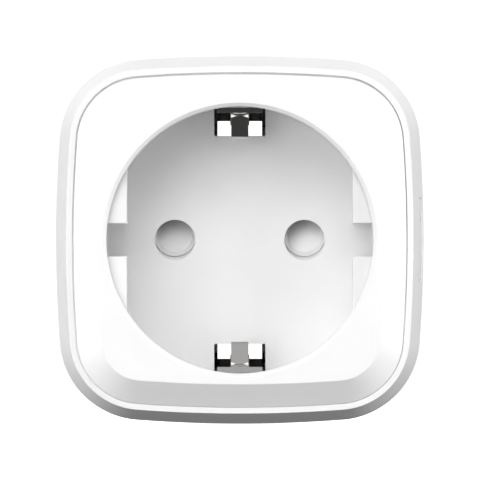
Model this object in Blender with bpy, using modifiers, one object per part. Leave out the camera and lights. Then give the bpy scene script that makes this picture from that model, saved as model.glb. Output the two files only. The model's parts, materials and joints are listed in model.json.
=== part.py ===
"""Plug-in power meter: a square adapter with a plug at the back and a metered socket at the front.

The front socket faces -Y, the plug's pins point along +Y, and the button is on the +X side.
The origin is the centre of the plug's flat face. Lengths below are in millimetres, and
places are (x, depth, z) with depth counted from the front face towards the pins.
"""
import math

import bmesh
import bpy
from mathutils import Matrix, Vector

MM = 0.001
GAP = 0.3                   # air between neighbouring pieces

# case
HALF_WIDTH = 27.1           # half the width of the case at its widest
CORNER_R = 12.25            # corner radius of the case seen from the front
SIDE_R = 203.0              # radius of the gentle bulge of each side
BODY_DEPTH = 42.0
BASE_LENGTH = 17.0          # the part of the plug that sinks into a wall socket
PLUG_FACE = BODY_DEPTH + BASE_LENGTH
WALL = 2.2
RIM_DEPTH = 2.6             # depth of the shell's front edge
RIM_INSET = 1.72            # the shell's side slopes out by this much
WIDEST_DEPTH = 32.0
SEAM_DEPTH = 38.4           # where the shell meets the rear cover
SEAM_INSET = 0.35
COVER_EDGE = 2.79           # inset of the front cover's outer edge
COVER_GROOVE = 0.25         # air between the front cover and the shell
COVER_SKIRT = 3.8           # depth of the front cover's outer wall
CHAMFER_DEPTH = 2.4
CHAMFER_INSET = 6.15
LIP = 0.55                  # small bevel around the well's opening
BOSS_R = 2.9                # bosses that take the case screws
BOSS_FRONT = 14.5
SCREW_HOLE_R = 1.45

# front socket
WELL_R = 19.5
WELL_DEPTH = 17.5
FLOOR = 1.2
BLOCK_X = 16.5              # flat sides of the well
BLOCK_DEPTH = 2.2
BLOCK_R = 20.4
KEY_X = 19.3                # bottom of each key slot
EAR = (11.9, 14.2)          # front and back of the ears that sit on the bosses
KEY_HALF = 2.4              # half the width of the key slot in each flat side
PIN_X = 9.5
PIN_HOLE_R = 2.965
WINDOW_HALF = 3.75          # windows for the earth clips
WINDOW_Z = 15.15

# plug
BASE_R = 18.5
BASE_EDGE = 0.6             # chamfer around the plug's flat face
PIN_R = 2.4
PIN_LENGTH = 19.0
COLLAR = (48.0, 49.7, 3.4)  # front, back and radius of the pins' collars
EARTH_HOLE_R = 3.0
EARTH_HOLE_Z = 10.0

# shutter
SHUTTER_FRONT = 21.4
SHUTTER_BACK = 24.0
PAD_FRONT = WELL_DEPTH + FLOOR + GAP
PAD_X = (5.1, 13.3)         # the thick pads of the shutter, behind the pin holes
SHUTTER_HOLE_Z = 6.2        # how far the slider's holes sit above the socket's holes
SCOOP_R = 3.26              # the ramp in front of each of the slider's holes
SCOOP_Z = 0.73
SCOOP_LIP = 0.3
SCOOP_SLOPE = 0.4
SPRING_Z = (-14.5, -4.5)
SPRING_DEPTH = 22.9

# button
BUTTON_DEPTH = 23.6
BUTTON_SIZE = (7.0, 12.0)   # along the depth, along z
FLANGE_X = (22.9, 23.75)    # the lip that keeps the button in the case
LENS_Z = 3.0

# boards
BOARD_FRONT = 37.4
BOARD_BACK = 39.0
SIDE_BOARD_X = 19.0
BOARD_INSET = 4.4
FOOT = BOARD_FRONT - GAP    # where the parts on the main board stand

CORNERS = [(1, 1), (-1, 1), (-1, -1), (1, -1)]
CASE_SCREW = 18.6           # x and z of the case screws
CARRIER_SCREW = (11.5, 14.5)

for old in list(bpy.data.objects):
    bpy.data.objects.remove(old, do_unlink=True)

PARTS = bpy.data.collections.new("plug_in_power_meter")
TOOLS = bpy.data.collections.new("cutters")
bpy.context.scene.collection.children.link(PARTS)
bpy.context.scene.collection.children.link(TOOLS)


# --- materials -----------------------------------------------------------------------------

def make_material(name, colour, roughness, metallic=0.0):
    material = bpy.data.materials.new(name)
    material.use_nodes = True
    shader = material.node_tree.nodes["Principled BSDF"]
    shader.inputs["Base Color"].default_value = (*colour, 1.0)
    shader.inputs["Roughness"].default_value = roughness
    shader.inputs["Metallic"].default_value = metallic
    return material


CASE_WHITE = make_material("case_white", (0.90, 0.90, 0.90), 0.35)
SOCKET_WHITE = make_material("socket_white", (0.86, 0.86, 0.86), 0.45)
NICKEL = make_material("nickel", (0.78, 0.77, 0.74), 0.22, 1.0)
COPPER = make_material("copper", (0.80, 0.45, 0.28), 0.3, 1.0)
STEEL = make_material("steel", (0.62, 0.62, 0.64), 0.3, 1.0)
LENS = make_material("lens", (0.80, 0.88, 0.95), 0.15)
BLACK = make_material("black_plastic", (0.03, 0.03, 0.03), 0.45)
BOARD_GREEN = make_material("board_green", (0.03, 0.16, 0.08), 0.4)
BLUE = make_material("blue_coating", (0.05, 0.15, 0.45), 0.4)
YELLOW = make_material("yellow_plastic", (0.75, 0.60, 0.10), 0.4)
SLEEVE = make_material("dark_sleeve", (0.05, 0.07, 0.12), 0.4)
CERAMIC = make_material("ceramic", (0.35, 0.55, 0.45), 0.5)


# --- modelling helpers ---------------------------------------------------------------------

def point(x, depth, z):
    """The place (x, depth, z), given in millimetres, in metres in the object's own frame."""
    return Vector((x, depth - PLUG_FACE, z)) * MM


def add(name, mesh, material):
    """Put a mesh into the scene: a part if it has a material, and otherwise a hidden cutter."""
    thing = bpy.data.objects.new(name, mesh)
    if material is None:
        TOOLS.objects.link(thing)
        thing.hide_render = True
        thing.display_type = "WIRE"
    else:
        PARTS.objects.link(thing)
        mesh.materials.append(material)
    return thing


def add_built(name, built, material):
    mesh = bpy.data.meshes.new(name)
    built.to_mesh(mesh)
    built.free()
    return add(name, mesh, material)


def smooth(thing):
    thing.data.shade_smooth()
    thing.data.set_sharp_from_angle(angle=math.radians(35))
    return thing


def box(name, low, high, material=None):
    """A box between two corners."""
    size = [(b - a) * MM for a, b in zip(low, high)]
    built = bmesh.new()
    bmesh.ops.create_cube(built, size=1.0, matrix=Matrix.Diagonal((*size, 1.0)))
    thing = add_built(name, built, material)
    thing.location = point(*[(a + b) / 2 for a, b in zip(low, high)])
    return thing


def rod(name, start, end, radius, material=None, sides=24):
    """A cylinder between two places."""
    a, b = point(*start), point(*end)
    built = bmesh.new()
    bmesh.ops.create_cone(built, cap_ends=True, segments=sides, radius1=radius * MM,
                          radius2=radius * MM, depth=(b - a).length)
    thing = add_built(name, built, material)
    thing.location = (a + b) / 2
    thing.rotation_euler = (b - a).to_track_quat("Z", "Y").to_euler()
    return smooth(thing)


def turned(name, profile, centre=(0.0, 0.0), material=None, steps=32):
    """A profile of (radius, depth) turned about the line along the depth through centre (x, z)."""
    hollow = min(radius for radius, _ in profile) > 0
    ring = list(zip(profile, profile[1:] + profile[:1]))
    if sum(a[0] * b[1] - b[0] * a[1] for a, b in ring) > 0:
        profile = profile[::-1]
    mesh = bpy.data.meshes.new(name)
    edges = [(i, i + 1) for i in range(len(profile) - 1)]
    if hollow:
        edges.append((len(profile) - 1, 0))
    mesh.from_pydata([(radius * MM, 0, depth * MM) for radius, depth in profile], edges, [])
    thing = add(name, mesh, material)
    thing.location = point(centre[0], 0, centre[1])
    thing.rotation_euler = (-math.pi / 2, 0, 0)
    screw = thing.modifiers.new("Turn", "SCREW")
    screw.steps = screw.render_steps = steps
    screw.use_merge_vertices = True
    screw.merge_threshold = 0.00001
    screw.use_smooth_shade = False
    return thing


def loft(name, rings, material=None, capped=True):
    """A skin over rings of places; an uncapped one joins its last ring to its first."""
    built = bmesh.new()
    loops = [[built.verts.new(point(*place)) for place in ring] for ring in rings]
    pairs = list(zip(loops, loops[1:]))
    if capped:
        built.faces.new(loops[0])
        built.faces.new(loops[-1])
    else:
        pairs.append((loops[-1], loops[0]))
    for near, far in pairs:
        for i in range(len(near)):
            j = (i + 1) % len(near)
            built.faces.new((near[i], near[j], far[j], far[i]))
    bmesh.ops.recalc_face_normals(built, faces=built.faces)
    return add_built(name, built, material)


def prism(name, outline, start, end, material=None):
    """An outline of (x, z) extruded along the depth."""
    rings = [[(x, depth, z) for x, z in outline] for depth in (start, end)]
    return loft(name, rings, material)


def side_prism(name, outline, start, end, material=None):
    """An outline of (depth, z) extruded along x."""
    rings = [[(x, depth, z) for depth, z in outline] for x in (start, end)]
    return loft(name, rings, material)


def strip(name, path, width, thickness, material=None, x=0.0):
    """A ribbon of sheet metal that follows a path of (z, depth) and is extruded along x."""
    built = bmesh.new()
    rows = [[built.verts.new(point(x + side * width / 2, depth, z)) for side in (-1, 1)]
            for z, depth in path]
    for near, far in zip(rows, rows[1:]):
        built.faces.new((near[0], near[1], far[1], far[0]))
    thing = add_built(name, built, material)
    solid = thing.modifiers.new("Sheet", "SOLIDIFY")
    solid.thickness = thickness * MM
    solid.offset = 0.0
    solid.use_even_offset = True
    return thing


def boolean(target, operation, others):
    for other in others:
        step = target.modifiers.new(operation.title(), "BOOLEAN")
        step.operation = operation
        step.solver = "EXACT"
        step.object = other
    return target


def cut(target, *others):
    return boolean(target, "DIFFERENCE", others)


def join(target, *others):
    return boolean(target, "UNION", others)


def soften(thing, width, segments=2, angle=40):
    """Round the sharp edges."""
    bevel = thing.modifiers.new("Edges", "BEVEL")
    bevel.width = width * MM
    bevel.segments = segments
    bevel.limit_method = "ANGLE"
    bevel.angle_limit = math.radians(angle)
    return thing


# --- outlines ------------------------------------------------------------------------------

def arc(centre, radius, start, end, pieces):
    """Places on an arc, from one angle to another, in degrees."""
    angles = [math.radians(start + (end - start) * i / pieces) for i in range(pieces + 1)]
    return [(centre[0] + radius * math.cos(a), centre[1] + radius * math.sin(a))
            for a in angles]


def case_outline(inset, corner_pieces=8, side_pieces=4):
    """The case seen from the front, moved in by an inset: bulging sides and round corners."""
    far = SIDE_R - HALF_WIDTH
    reach = SIDE_R - CORNER_R
    centre = (math.sqrt(2 * reach ** 2 - far ** 2) - far) / 2
    lean = math.degrees(math.asin(centre / reach))
    places = []
    for quarter in range(4):
        turn = 90 * quarter
        side = (-far * math.cos(math.radians(turn)), -far * math.sin(math.radians(turn)))
        across = math.radians(turn + 45)
        corner = (centre * math.sqrt(2) * math.cos(across),
                  centre * math.sqrt(2) * math.sin(across))
        places += arc(side, SIDE_R - inset, turn - lean, turn + lean, side_pieces)[:-1]
        places += arc(corner, CORNER_R - inset, turn + lean, turn + 90 - lean,
                      corner_pieces)[:-1]
    return places


def case_ring(depth, inset):
    return [(x, depth, z) for x, z in case_outline(inset)]


def rounded(centre, size, radius, pieces=4):
    """A rectangle with round corners."""
    half = (size[0] / 2 - radius, size[1] / 2 - radius)
    places = []
    for turn, (u, v) in zip((0, 90, 180, 270), CORNERS):
        middle = (centre[0] + u * half[0], centre[1] + v * half[1])
        places += arc(middle, radius, turn, turn + 90, pieces)
    return places


def base_outline(inset=0.0):
    """The plug base: a circle with flat sides, a key on each and a groove for each earth strip."""
    flat, key, groove, floor = 16.0, 2.1, 4.4, 16.6
    radius = BASE_R - inset
    low = math.degrees(math.acos((flat - inset) / radius))
    high = math.degrees(math.acos(groove / radius))
    quarter = [(math.sqrt(radius ** 2 - key ** 2), key), (flat - inset, key)]
    quarter += arc((0, 0), radius, low, high, 7)
    quarter += [(groove, floor - inset)]
    mirrored = [(-x, z) for x, z in quarter[::-1]]
    upper = quarter + mirrored
    return upper + [(-x, -z) for x, z in upper]


def side_x(depth):
    """How far out the shell's side is at a depth."""
    slope = RIM_INSET / (WIDEST_DEPTH - RIM_DEPTH)
    return HALF_WIDTH - slope * (WIDEST_DEPTH - depth)


# --- case ----------------------------------------------------------------------------------

def make_front_cover():
    """The chamfered square frame around the socket."""
    skirt = COVER_EDGE + 1.3
    cover = loft("front_cover", [
        case_ring(0, CHAMFER_INSET), case_ring(CHAMFER_DEPTH, COVER_EDGE),
        case_ring(COVER_SKIRT, COVER_EDGE), case_ring(COVER_SKIRT, skirt),
        case_ring(COVER_SKIRT - 0.9, skirt), case_ring(1.9, skirt + 2.5)], CASE_WHITE)
    hole = turned("front_hole", [(0, -1), (WELL_R + LIP + 1, -1), (WELL_R, LIP),
                                 (WELL_R, 3), (0, 3)], steps=64)
    return cut(cover, hole)


def make_body_shell():
    """The four sides of the case, with the bosses that take the case screws."""
    mouth = COVER_EDGE - COVER_GROOVE
    throat = COVER_SKIRT + GAP
    shell = loft("body_shell", [
        case_ring(RIM_DEPTH, RIM_INSET), case_ring(WIDEST_DEPTH, 0), case_ring(36.5, 0.12),
        case_ring(SEAM_DEPTH, SEAM_INSET), case_ring(SEAM_DEPTH, 2.5), case_ring(12, 3.2),
        case_ring(throat, 3.8), case_ring(throat, mouth), case_ring(RIM_DEPTH, mouth)],
        CASE_WHITE, capped=False)
    for number, (u, v) in enumerate(CORNERS, 1):
        x, z = u * CASE_SCREW, v * CASE_SCREW
        web = box(f"boss_web_{number}", (-2.3, 16, -1), (2.3, 38.1, 1))
        web.location = point(x + u * 1.9, 27.05, z + v * 1.9)
        web.rotation_euler = (0, -math.atan2(v, u), 0)
        join(shell, web, rod(f"boss_{number}", (x, BOSS_FRONT, z), (x, 38.1, z), BOSS_R,
                             sides=16))
        cut(shell, rod(f"boss_hole_{number}", (x, 27.5, z), (x, 39, z), SCREW_HOLE_R,
                       sides=12))
    opening = [size + 2 * GAP for size in BUTTON_SIZE]
    cut(shell, side_prism("button_opening", rounded((BUTTON_DEPTH, 0), opening, 1.8),
                          22.5, 29))
    return shell


def make_rear_cover():
    """The back of the case with the plug base moulded on it."""
    cover = loft("rear_cover", [
        case_ring(BODY_DEPTH, 2.8), case_ring(BODY_DEPTH - 0.8, 1.4),
        case_ring(BODY_DEPTH - 2, 0.6), case_ring(SEAM_DEPTH + GAP, SEAM_INSET),
        case_ring(SEAM_DEPTH + GAP, 2.8), case_ring(BODY_DEPTH - WALL, 3.1)], CASE_WHITE)
    rings = [[(x, depth, z) for x, z in base_outline(inset)]
             for depth, inset in ((41, 0), (PLUG_FACE - BASE_EDGE, 0), (PLUG_FACE, BASE_EDGE))]
    join(cover, loft("plug_base", rings))
    hollow = [(max(-14.0, min(14.0, x)), max(-15.1, min(15.1, z)))
              for x, z in arc((0, 0), 16.3, 0, 360, 48)[:-1]]
    cut(cover, prism("base_hollow", hollow, 39, PLUG_FACE - WALL))
    for number, (u, v) in enumerate(CORNERS, 1):
        x, z = u * CASE_SCREW, v * CASE_SCREW
        join(cover, rod(f"screw_seat_{number}", (x, SEAM_DEPTH, z), (x, 40.5, z), BOSS_R,
                        sides=16))
        cut(cover, rod(f"screw_sink_{number}", (x, 40.6, z), (x, 43, z), 2.6, sides=16),
            rod(f"screw_pass_{number}", (x, 38, z), (x, 41, z), SCREW_HOLE_R, sides=12))
    for side in (-1, 1):
        x = side * PIN_X
        join(cover, rod(f"pin_boss_{side}", (x, 50, 0), (x, 57.5, 0), 4.2))
        cut(cover, rod(f"pin_hole_{side}", (x, 49, 0), (x, 60, 0), PIN_R + GAP))
        cut(cover, box(f"earth_slot_{side}", (-4.35, 53.6, side * 16.1 - 2),
                       (4.35, 56.25, side * 16.1 + 2)))
    cut(cover, rod("rear_earth_hole", (0, 56, EARTH_HOLE_Z), (0, 60, EARTH_HOLE_Z),
                   EARTH_HOLE_R))
    return cover


def make_case_screws():
    for number, (u, v) in enumerate(CORNERS, 1):
        turned(f"case_screw_{number}", [(0, 28), (0.7, 28), (1.15, 29.2), (1.15, 40.9),
                                        (2.3, 40.9), (2.3, 41.5), (1.7, 41.9), (0, 41.9)],
               (u * CASE_SCREW, v * CASE_SCREW), STEEL, steps=16)


# --- front socket --------------------------------------------------------------------------

def make_socket_insert():
    """The well: a cup with flat sides, pin holes, earth windows and ears that sit on the bosses."""
    inner, outer, back = WELL_R + 0.1, WELL_R + 1.4, WELL_DEPTH + FLOOR
    insert = turned("socket_insert", [(0, WELL_DEPTH), (inner, WELL_DEPTH), (inner, 2.7),
                                      (outer, 2.7), (outer, back), (0, back)],
                    material=SOCKET_WHITE, steps=64)
    spread = math.degrees(math.acos(BLOCK_X / BLOCK_R))
    for side in (-1, 1):
        block = [(side * x, z) for x, z in arc((0, 0), BLOCK_R, -spread, spread, 12)]
        join(insert, prism(f"side_block_{side}", block, BLOCK_DEPTH, WELL_DEPTH + 1))
        near, far = sorted((side * (BLOCK_X - 1), side * KEY_X))
        cut(insert, box(f"key_slot_{side}", (near, 1, -KEY_HALF), (far, WELL_DEPTH, KEY_HALF)))
    for number, (u, v) in enumerate(CORNERS, 1):
        arm = box(f"ear_arm_{number}", (-3.3, EAR[0], -2), (3.3, EAR[1], 2))
        arm.location = point(u * 16.6, sum(EAR) / 2, v * 16.6)
        arm.rotation_euler = (0, -math.atan2(v, u), 0)
        ear = rod(f"ear_{number}", (u * CASE_SCREW, EAR[0], v * CASE_SCREW),
                  (u * CASE_SCREW, EAR[1], v * CASE_SCREW), 2.6, sides=16)
        x, z = u * CARRIER_SCREW[0], v * CARRIER_SCREW[1]
        join(insert, arm, ear, rod(f"floor_boss_{number}", (x, 18, z), (x, 24, z), 2.3,
                                   sides=16))
        cut(insert, rod(f"floor_boss_hole_{number}", (x, 20.8, z), (x, 25, z), 1.1, sides=12))
    for side in (-1, 1):
        near, far = sorted((side * WINDOW_Z, side * 22))
        cut(insert, rod(f"pin_entry_{side}", (side * PIN_X, 16, 0), (side * PIN_X, 21, 0),
                        PIN_HOLE_R, sides=32),
            box(f"earth_window_{side}", (-WINDOW_HALF, 1, near), (WINDOW_HALF, 21, far)))
    return insert


def make_shutter():
    """The safety slider: it closes both pin holes until both pins push its ramps together."""
    shutter = prism("shutter", rounded((0, 3.0), (26.8, 14.4), 1.5), SHUTTER_FRONT,
                    SHUTTER_BACK, SOCKET_WHITE)
    bottom = SCOOP_Z - SCOOP_R
    for side in (-1, 1):
        pad = rounded((side * sum(PAD_X) / 2, 3.0), (PAD_X[1] - PAD_X[0], 14.4), 1.0)
        join(shutter, prism(f"pad_{side}", pad, PAD_FRONT, SHUTTER_FRONT + 1))
    for side in (-1, 1):
        x = side * PIN_X
        stadium = arc((x, SHUTTER_HOLE_Z), SCOOP_R, 0, 180, 8)
        stadium += arc((x, SCOOP_Z), SCOOP_R, 180, 360, 8)
        ramp = [[(u, PAD_FRONT - 0.4, v) for u, v in stadium],
                [(u, PAD_FRONT + SCOOP_LIP + SCOOP_SLOPE * (v - bottom), v)
                 for u, v in stadium]]
        cut(shutter, loft(f"ramp_{side}", ramp),
            rod(f"slider_hole_{side}", (x, 18, SHUTTER_HOLE_Z), (x, 25, SHUTTER_HOLE_Z), 3.0))
    return shutter


def make_shutter_spring():
    """A coil spring under the slider that holds it shut."""
    turns, per_turn, radius, wire = 7, 12, 1.2, 0.22
    bottom, top = SPRING_Z
    curve = bpy.data.curves.new("shutter_spring", "CURVE")
    curve.dimensions = "3D"
    curve.bevel_depth = wire * MM
    curve.bevel_resolution = 2
    curve.use_fill_caps = True
    spline = curve.splines.new("POLY")
    count = turns * per_turn + 1
    spline.points.add(count - 1)
    for i in range(count):
        angle = 2 * math.pi * i / per_turn
        along = i / (count - 1)
        rise = bottom + wire + (top - bottom - 2 * wire) * along
        place = point(radius * math.cos(angle), SPRING_DEPTH + radius * math.sin(angle), rise)
        spline.points[i].co = (*place, 1.0)
    curve.materials.append(STEEL)
    spring = bpy.data.objects.new("shutter_spring", curve)
    PARTS.objects.link(spring)
    return spring


def make_contact_carrier():
    """The block behind the shutter that guides it and holds the two socket contacts."""
    carrier = box("contact_carrier", (-15.6, SHUTTER_BACK + GAP, -16.6), (15.6, 26.3, 16.6),
                  SOCKET_WHITE)
    join(carrier, box("contact_block", (-15.6, 26, -6.3), (15.6, 35.6, 6.3)),
         box("centre_post", (-3, 30, -5.6), (3, FOOT, 5.6)),
         box("spring_ledge", (-3, 21.5, -16.5), (3, 25, -14.8)))
    for side in (-1, 1):
        low, high = sorted((side * 13.7, side * 15.6))
        join(carrier, box(f"guide_{side}", (low, 20.3, -12.2), (high, 25, 11.6)))
        low, high = sorted((side * 4.6, side * 14.4))
        cut(carrier, box(f"chamber_{side}", (low, 26.6, -5), (high, 37, 5)),
            rod(f"pin_way_{side}", (side * PIN_X, 24, 0), (side * PIN_X, 27, 0), 3.0),
            rod(f"board_screw_hole_{side}", (0, 29, side * 4), (0, 38, side * 4), 1.3,
                sides=12))
    cut(carrier, box("spring_groove", (-1.8, 24, -14.8), (1.8, 25, -4)),
        box("link_notch", (-2.4, 23, 13.5), (2.4, 27, 17)))
    for number, (u, v) in enumerate(CORNERS, 1):
        x, z = u * CARRIER_SCREW[0], v * CARRIER_SCREW[1]
        cut(carrier, rod(f"carrier_hole_{number}", (x, 24, z), (x, 27, z), 1.1, sides=12))
    return carrier


def make_carrier_screws():
    for number, (u, v) in enumerate(CORNERS, 1):
        turned(f"carrier_screw_{number}", [(0, 21.2), (0.5, 21.2), (0.8, 22.0), (0.8, 26.6),
                                           (1.9, 26.6), (1.9, 27.4), (1.3, 27.9), (0, 27.9)],
               (u * CARRIER_SCREW[0], v * CARRIER_SCREW[1]), STEEL, steps=16)


def make_socket_contact(name, x):
    """A split tube that grips the inserted pin, with a tail that is soldered to the board."""
    contact = turned(name, [(2.5, 28), (2.9, 26.9), (3.5, 26.9), (3.1, 28.2), (3.1, 35),
                            (2.5, 35)], (x, 0), NICKEL, steps=24)
    tail = box(f"{name}_tail", (x - 2, 33, 2.6), (x + 2, 39.4, 3.3))
    low, high = sorted((x - math.copysign(1, x), x - math.copysign(4, x)))
    slit = box(f"{name}_slit", (low, 26, -0.5), (high, 36, 0.5))
    return cut(join(contact, tail), slit)


def clip_tongue(side):
    """The spring tongue of an earth clip: in from the base to an apex, then out to a round tip."""
    path = [(16.7, 20.7), (16.6, 19.0), (15.6, 13.4), (15.05, 11.6), (15.1, 10.9),
            (15.5, 10.4), (18.7, 9.1)]
    tongue = strip(f"tongue_{side}", [(side * z, depth) for z, depth in path], 2.5, 0.5)
    tip = arc((0, 16.55), 1.6, 38.6, 141.4, 6)
    mask = [(-1.6, 14), (1.6, 14)] + tip
    keep = prism(f"tongue_mask_{side}", [(x, side * z) for x, z in mask], 4, 21.6)
    return boolean(tongue, "INTERSECT", [keep])


def make_front_earth_strap():
    """One strip of spring metal with an earth clip bent up at each end."""
    wall, base, bend, top = 19.0, 20.7, 1.5, 7.6
    corner = arc((wall - bend, base - bend), bend, 0, 90, 5)
    half = [(wall, top)] + corner
    path = half + [(-z, depth) for z, depth in half[::-1]]
    strap = strip("front_earth_strap", path, 6.6, 0.8, NICKEL)
    for side in (-1, 1):
        low, high = sorted((side * 17.2, side * 21))
        cut(strap, box(f"clip_slot_{side}", (-1.35, 9.4, low), (1.35, 20.2, high)))
        join(strap, clip_tongue(side))
    return strap


# --- plug ----------------------------------------------------------------------------------

def make_plug_pin(name, x):
    tip = arc((0, PLUG_FACE + PIN_LENGTH - PIN_R), PIN_R, 90, 0, 5)
    front, back, radius = COLLAR
    shank = [(PIN_R, back), (radius, back), (radius, front), (2.0, front), (2.0, 39.8),
             (1.2, 39.8), (1.2, 35.9), (0, 35.9)]
    return turned(name, [(0, tip[0][1])] + tip[1:] + shank, (x, 0), NICKEL, steps=24)


def make_rear_earth_strap():
    """The U-shaped strip whose ends are the plug's two side earth contacts."""
    reach, across, bend = 17.3, 55.5, 1.2
    half = [(reach, 44)] + arc((reach - bend, across - bend), bend, 0, 90, 4)
    path = half + [(-z, depth) for z, depth in half[::-1]]
    strap = strip("rear_earth_strap", path, 8.0, 0.8, NICKEL)
    return cut(strap, rod("strap_earth_hole", (0, 54, EARTH_HOLE_Z), (0, 57, EARTH_HOLE_Z),
                          EARTH_HOLE_R))


def make_earth_pin_socket():
    """The sleeve for the earth pin that stands in some wall sockets."""
    return turned("earth_pin_socket", [(2.95, 44), (3.5, 44), (3.5, 54.2), (3.9, 54.8),
                                       (2.95, 54.8)], (0, EARTH_HOLE_Z), NICKEL, steps=24)


def make_earth_link():
    """The strip that joins the front and the rear earth strap."""
    return box("earth_link", (-2, SHUTTER_FRONT, 14.0), (2, 54.8, 14.8), COPPER)


# --- button --------------------------------------------------------------------------------

def make_button():
    flange = [size + 1.4 for size in BUTTON_SIZE]
    middle = (BUTTON_DEPTH, 0)
    outline = rounded(middle, BUTTON_SIZE, 1.5)
    cap = loft("button_cap", [[(23.2, depth, z) for depth, z in outline],
                              [(side_x(depth) - 0.2, depth, z) for depth, z in outline],
                              [(side_x(depth), depth, z)
                               for depth, z in rounded(middle, [s - 0.4 for s in BUTTON_SIZE],
                                                       1.3)]], CASE_WHITE)
    join(cap, side_prism("button_flange", rounded(middle, flange, 1.7), *FLANGE_X))
    cut(cap, rod("lens_hole", (22, BUTTON_DEPTH, LENS_Z), (28, BUTTON_DEPTH, LENS_Z), 0.9,
                 sides=16))
    rod("button_lens", (FLANGE_X[0], BUTTON_DEPTH, LENS_Z),
        (side_x(BUTTON_DEPTH) - 0.1, BUTTON_DEPTH, LENS_Z), 0.6, LENS, sides=16)
    return cap


def make_switch():
    """The push switch behind the button, and its plunger."""
    middle = BUTTON_DEPTH
    body = box("switch_body", (20.3, middle - 2.2, -2.2), (22.0, middle + 2.2, 2.2), BLACK)
    cut(soften(body, 0.3, 1), rod("plunger_hole", (20.8, middle, 0), (23, middle, 0), 1.4))
    rod("switch_plunger", (21.7, middle, 0), (22.6, middle, 0), 1.1, YELLOW)
    box("status_led", (20.3, middle - 0.8, 2.6), (21.1, middle + 0.8, 3.8), LENS)


# --- boards and what they carry ------------------------------------------------------------

def make_boards():
    board = prism("main_board", case_outline(BOARD_INSET), BOARD_FRONT, BOARD_BACK, BOARD_GREEN)
    for number, (u, v) in enumerate(CORNERS, 1):
        x, z = u * CASE_SCREW, v * CASE_SCREW
        cut(board, rod(f"board_corner_{number}", (x, 37, z), (x, 40, z), 3.4))
    for side in (-1, 1):
        x = side * PIN_X
        cut(board, rod(f"spigot_hole_{side}", (x, 37, 0), (x, 40, 0), 1.5, sides=16),
            box(f"tail_slot_{side}", (x - 2.3, 37, 2.3), (x + 2.3, 40, 3.6)),
            rod(f"board_screw_pass_{side}", (0, 37, side * 4), (0, 40, side * 4), 1.3,
                sides=12))
    cut(board, box("link_slot", (-2.3, 37, 13.7), (2.3, 40, 15.1)))
    for number, side in enumerate((-1, 1), 1):
        turned(f"board_screw_{number}", [(0, 31), (0.6, 31), (1.0, 32), (1.0, 39.3),
                                         (1.9, 39.3), (1.9, 40.1), (1.3, 40.6), (0, 40.6)],
               (0, side * 4), STEEL, steps=16)
    box("control_board", (SIDE_BOARD_X, 20.6, -12), (SIDE_BOARD_X + 1, 36.8, 12), BOARD_GREEN)
    box("radio_module", (17.9, 23.5, -8), (18.7, 34.2, 8), SLEEVE)
    soften(box("radio_shield", (16.2, 24.5, -6), (17.6, 33.4, 6), STEEL), 0.4, 1)
    box("board_header", (16.2, 34.6, -6), (18.7, FOOT, 6), BLACK)


def can(name, x, z, radius, front):
    """An electrolytic capacitor standing on the board, with the crimp near its foot."""
    turned(name, [(0, front), (radius - 0.3, front), (radius, front + 0.3),
                  (radius, FOOT - 2.0), (radius - 0.3, FOOT - 1.6), (radius, FOOT - 1.2),
                  (radius, FOOT), (0, FOOT)], (x, z), SLEEVE, steps=24)


def chip(name, x, z, size, height, material=BLACK, edge=0.2):
    """A block standing on the board, centred at (x, z)."""
    block = box(name, (x - size[0] / 2, FOOT - height, z - size[1] / 2),
                (x + size[0] / 2, FOOT, z + size[1] / 2), material)
    return soften(block, edge, 2 if edge > 0.3 else 1)


def busbar(name, x):
    """A flat copper bar from a plug pin towards the relay."""
    bar = prism(name, rounded((x, -2.3), (4.2, 8.2), 0.8, 3), 36.2, 37.0, COPPER)
    return cut(bar, rod(f"{name}_hole", (x, 35, 0), (x, 38, 0), 1.5, sides=16))


def make_power_parts():
    chip("relay", 0, -12.2, (18.4, 10.2), 10.4, BLACK, 0.5)
    chip("line_capacitor", -6.8, 9.7, (12.4, 5.0), 10.0, YELLOW, 0.5)
    can("filter_capacitor_1", 9.5, 18.5, 3.15, 28.3)
    can("filter_capacitor_2", 2.6, 19.4, 3.15, 26.8)
    turned("inductor", [(0, 29.5), (3.0, 29.5), (3.0, 30.4), (2.4, 30.8), (2.4, 35.4),
                        (3.0, 35.8), (3.0, 37.0), (0, 37.0)], (-5, 19.2), CERAMIC, steps=24)
    soften(rod("varistor", (6.8, 32.3, 7.3), (6.8, 32.3, 10.3), 4.6, BLUE), 0.6, 2)
    soften(rod("fusible_resistor", (-16, 34.9, 14.6), (-7.4, 34.9, 14.6), 1.7, CERAMIC,
               sides=16), 0.4, 2)
    rod("thermal_fuse", (-4.5, 35.6, -19.4), (4.5, 35.6, -19.4), 1.2, STEEL, sides=16)
    chip("bridge_rectifier", -19.0, 7.5, (5.0, 7.0), 2.4)
    chip("converter_chip", -18.8, -1.5, (4.0, 5.0), 1.6)
    chip("metering_chip", -18.8, -9.0, (4.0, 6.0), 1.5)
    shunt = [(-17.0, 36.8), (-17.0, 35.2), (-9.5, 35.2), (-9.5, 36.8)]
    strip("current_shunt", shunt, 3.0, 0.6, COPPER, x=13.3)


def main():
    make_front_cover()
    make_body_shell()
    make_rear_cover()
    make_case_screws()
    make_socket_insert()
    make_shutter()
    make_shutter_spring()
    make_contact_carrier()
    make_carrier_screws()
    make_socket_contact("live_contact", PIN_X)
    make_socket_contact("neutral_contact", -PIN_X)
    make_front_earth_strap()
    make_plug_pin("live_pin", PIN_X)
    make_plug_pin("neutral_pin", -PIN_X)
    make_rear_earth_strap()
    make_earth_pin_socket()
    make_earth_link()
    make_button()
    make_switch()
    make_boards()
    make_power_parts()
    busbar("live_busbar", PIN_X)
    busbar("neutral_busbar", -PIN_X)


main()
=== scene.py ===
"""The finished look of the plug-in power meter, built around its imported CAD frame.

Lengths in this script are in millimetres. Places are (x, depth, z): depth is counted from the
front face towards the plug's pins, x points to the side with the button, and z points up.
"""
import json
import math

import bmesh
import bpy
from mathutils import Matrix, Vector


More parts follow.
